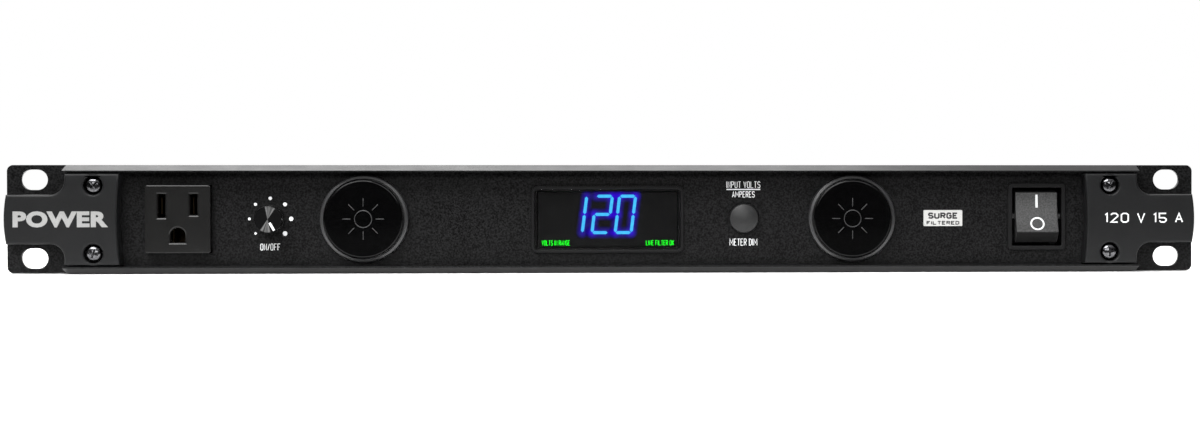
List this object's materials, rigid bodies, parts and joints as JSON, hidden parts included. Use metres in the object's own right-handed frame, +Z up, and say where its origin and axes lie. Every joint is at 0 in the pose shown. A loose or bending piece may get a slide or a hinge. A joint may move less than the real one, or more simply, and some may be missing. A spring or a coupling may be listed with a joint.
{
  "type": "rack power strip",
  "caption": "One-unit rack power conditioner with a front outlet, two pull-out lamps, a lit voltage meter, a dimmer knob and a rocker switch.",
  "frame": {"origin": "on the plane where the backs of the rack ears meet the rack rails, midway between the four slots", "axes": "+X to the right of a person facing the panel, +Y back into the rack, +Z up"},
  "size_m": [0.4826, 0.2996, 0.0436],
  "materials": {
    "panel_paint": "black powder coat with a fine grain",
    "sheet_paint": "black textured powder coat on sheet steel",
    "cap_plastic": "charcoal moulded plastic, fine texture",
    "black_screw": "black oxide, satin",
    "zinc": "bright zinc",
    "outlet_plastic": "dark grey moulded plastic",
    "contact_brass": "spring brass",
    "knob_black": "gloss black with a spun face",
    "print_white": "white ink or moulding",
    "shaft_steel": "plain steel",
    "control_plastic": "moulded nylon",
    "circuit_board": "green solder resist",
    "lamp_board_white": "white solder resist with lamps",
    "lamp_bezel_black": "satin black anodised ring",
    "lamp_black": "gloss black",
    "tube_black": "black anodised tube",
    "clear_lens": "clear diffuser",
    "meter_frame": "satin black moulding",
    "meter_glass": "dark tinted window",
    "display_black": "display face with lit digits",
    "button_plastic": "charcoal moulded plastic",
    "badge_silver": "silvered plate",
    "switch_black": "black moulded nylon",
    "rocker_grey": "grained black-grey nylon",
    "jack_nickel": "bright nickel",
    "cord_rubber": "black cord jacket",
    "blade_nickel": "nickel-plated brass",
    "part_mix": "moulded electronic parts",
    "winding_copper": "enamelled copper",
    "core_steel": "laminated core",
    "wire_black": "insulated hook-up wire"
  },
  "bodies": {
    "chassis": {"front_panel": "panel_paint", "left_end_cap": "cap_plastic", "right_end_cap": "cap_plastic", "end_cap_screws": "black_screw", "end_cap_nuts": "zinc", "chassis_tray": "sheet_paint", "top_cover": "sheet_paint", "cover_screws": "black_screw", "front_outlet_housing": "outlet_plastic", "front_outlet_contacts": "contact_brass", "dimmer_body": "control_plastic", "dimmer_board": "circuit_board", "left_lamp_bezel": "lamp_bezel_black", "left_lamp_track": "control_plastic", "right_lamp_bezel": "lamp_bezel_black", "right_lamp_track": "control_plastic", "lamp_locknuts": "lamp_bezel_black", "meter_bezel": "meter_frame", "meter_window": "meter_glass", "meter_display": "display_black", "meter_board": "circuit_board", "panel_badge": "badge_silver", "switch_frame": "switch_black", "switch_terminals": "contact_brass", "rear_outlet_housings": "outlet_plastic", "rear_outlet_contacts": "contact_brass", "breaker_body": "switch_black", "rear_locknuts": "zinc", "lamp_jack": "jack_nickel", "lamp_jack_contact": "contact_brass", "lamp_switch_frame": "switch_black", "cord_bushing": "switch_black", "power_cord": "cord_rubber", "plug_body": "cord_rubber", "plug_blades": "blade_nickel", "surge_board": "circuit_board", "board_parts": "part_mix", "choke_windings": "winding_copper", "transformer": "core_steel", "board_standoffs": "zinc", "mains_wires": "wire_black"},
    "left_lamp_carriage": {"left_lamp_carriage": "control_plastic"},
    "left_lamp": {"left_lamp_cap": "lamp_black", "left_lamp_tube": "tube_black", "left_lamp_lens": "clear_lens", "left_lamp_board": "lamp_board_white"},
    "right_lamp_carriage": {"right_lamp_carriage": "control_plastic"},
    "right_lamp": {"right_lamp_cap": "lamp_black", "right_lamp_tube": "tube_black", "right_lamp_lens": "clear_lens", "right_lamp_board": "lamp_board_white"},
    "dimmer_plunger": {"dimmer_plunger": "control_plastic"},
    "dimmer_knob": {"dimmer_knob": "knob_black", "dimmer_pointer": "print_white", "dimmer_shaft": "shaft_steel"},
    "meter_button": {"meter_button": "button_plastic"},
    "power_rocker": {"switch_rocker": "rocker_grey"},
    "breaker_button": {"breaker_button": "switch_black"},
    "lamp_rocker": {"lamp_switch_rocker": "switch_black"}
  },
  "joints": [
    {"name": "left_lamp_slide", "type": "slide", "parent": "chassis", "child": "left_lamp_carriage", "axis": [0, -1, 0], "range_m": [0, 0.095]},
    {"name": "left_lamp_turn", "type": "hinge", "parent": "left_lamp_carriage", "child": "left_lamp", "pos_m": [-0.0987, 0.11, 0], "axis": [0, -1, 0], "range_deg": [-90, 90]},
    {"name": "right_lamp_slide", "type": "slide", "parent": "chassis", "child": "right_lamp_carriage", "axis": [0, -1, 0], "range_m": [0, 0.095]},
    {"name": "right_lamp_turn", "type": "hinge", "parent": "right_lamp_carriage", "child": "right_lamp", "pos_m": [0.0997, 0.11, 0], "axis": [0, -1, 0], "range_deg": [-90, 90]},
    {"name": "dimmer_press", "type": "slide", "parent": "chassis", "child": "dimmer_plunger", "axis": [0, 1, 0], "range_m": [0, 0.001], "stiffness_N_per_m": 400},
    {"name": "dimmer_turn", "type": "hinge", "parent": "dimmer_plunger", "child": "dimmer_knob", "pos_m": [-0.1364, 0, 0], "axis": [0, -1, 0], "range_deg": [0, 300]},
    {"name": "meter_button_press", "type": "slide", "parent": "chassis", "child": "meter_button", "axis": [0, 1, 0], "range_m": [0, 0.001], "stiffness_N_per_m": 400},
    {"name": "power_rocker_tilt", "type": "hinge", "parent": "chassis", "child": "power_rocker", "pos_m": [0.1764, 0.0015, 0.0006], "axis": [1, 0, 0], "range_deg": [0, 34]},
    {"name": "breaker_reset", "type": "slide", "parent": "chassis", "child": "breaker_button", "axis": [0, 1, 0], "range_m": [0, 0.004]},
    {"name": "lamp_rocker_tilt", "type": "hinge", "parent": "chassis", "child": "lamp_rocker", "pos_m": [0.155, 0.19721, 0], "axis": [-1, 0, 0], "range_deg": [0, 34]}
  ]
}
